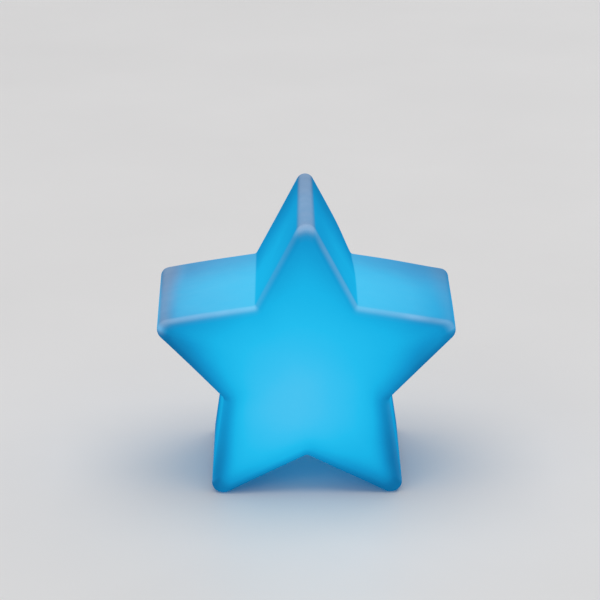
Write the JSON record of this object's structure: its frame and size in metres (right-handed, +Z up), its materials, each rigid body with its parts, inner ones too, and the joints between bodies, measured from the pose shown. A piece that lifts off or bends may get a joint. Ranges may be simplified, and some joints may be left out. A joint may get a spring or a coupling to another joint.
{
  "type": "star-shaped mood lamp",
  "caption": "Standing five-pointed star mood lamp of translucent soft plastic, lit by a battery LED unit plugged into its back.",
  "frame": {"origin": "centre of the lamp's footprint on the ground, under the middle of the star's depth", "axes": "+Z up; the star's lit front faces -Y and the battery unit is on the +Y side; +X to the right seen from the front"},
  "size_m": [0.1148, 0.072, 0.1092],
  "materials": {
    "star_shell": "satin translucent soft PVC, lit from inside",
    "module_housing": "fine-textured white ABS",
    "front_cover": "white ABS reflector",
    "cover_screws": "zinc plated",
    "circuit_board": "green solder mask",
    "board_screws": "zinc plated",
    "rgb_led": "milky epoxy, lit",
    "led_leads": "tinned",
    "solder_joints": "bright solder",
    "controller_chip": "black epoxy blob",
    "resistors": "chip resistor",
    "capacitor": "chip capacitor",
    "switch_body": "black nylon",
    "switch_pins": "tinned",
    "switch_plunger": "natural nylon",
    "switch_spring": "spring steel",
    "power_button": "white ABS, satin",
    "cell_gaskets": "nylon seal",
    "contact_positive": "nickel plated",
    "contact_negative": "nickel plated",
    "battery_door": "fine-textured white ABS",
    "door_pad": "closed-cell foam",
    "door_screw": "zinc plated",
    "door_screw_washer": "zinc plated",
    "wire_positive": "PVC insulation",
    "wire_negative": "PVC insulation",
    "battery_cell_1": "nickel-plated steel can",
    "battery_cell_2": "nickel-plated steel can",
    "battery_cell_3": "nickel-plated steel can"
  },
  "bodies": {
    "lamp_body": {"star_shell": "star_shell", "module_housing": "module_housing", "front_cover": "front_cover", "cover_screws": "cover_screws", "circuit_board": "circuit_board", "board_screws": "board_screws", "rgb_led": "rgb_led", "led_leads": "led_leads", "solder_joints": "solder_joints", "controller_chip": "controller_chip", "resistors": "resistors", "capacitor": "capacitor", "switch_body": "switch_body", "switch_pins": "switch_pins", "switch_spring": "switch_spring", "contact_positive": "contact_positive", "contact_negative": "contact_negative", "wire_positive": "wire_positive", "wire_negative": "wire_negative"},
    "power_button": {"power_button": "power_button", "switch_plunger": "switch_plunger"},
    "battery_door": {"battery_door": "battery_door", "door_pad": "door_pad"},
    "screw_washer": {"door_screw_washer": "door_screw_washer"},
    "door_screw": {"door_screw": "door_screw"},
    "battery_cells": {"battery_cell_1": "battery_cell_1", "battery_cell_2": "battery_cell_2", "battery_cell_3": "battery_cell_3", "cell_gaskets": "cell_gaskets"}
  },
  "joints": [
    {"name": "button_press", "type": "slide", "parent": "lamp_body", "child": "power_button", "axis": [0, -1, 0], "range_m": [0, 0.0012], "stiffness_N_per_m": 800, "deforming": ["switch_spring"]},
    {"name": "door_lift", "type": "slide", "parent": "lamp_body", "child": "battery_door", "axis": [0, 1, 0], "range_m": [0, 0.04]},
    {"name": "screw_travel", "type": "slide", "parent": "battery_door", "child": "screw_washer", "axis": [0, 1, 0], "range_m": [0, 0.0056]},
    {"name": "screw_turn", "type": "hinge", "parent": "screw_washer", "child": "door_screw", "pos_m": [0, 0.035, 0.06507], "axis": [0, 1, 0], "range_deg": [0, 2520]},
    {"name": "cells_lift", "type": "slide", "parent": "lamp_body", "child": "battery_cells", "axis": [0, 1, 0], "range_m": [0, 0.022]}
  ],
  "couplings": [
    {"joint": "screw_turn", "follows": "screw_travel", "rad_per_m": 7853.2},
    {"joint": "cells_lift", "follows": "door_lift", "ratio": 0.55}
  ]
}
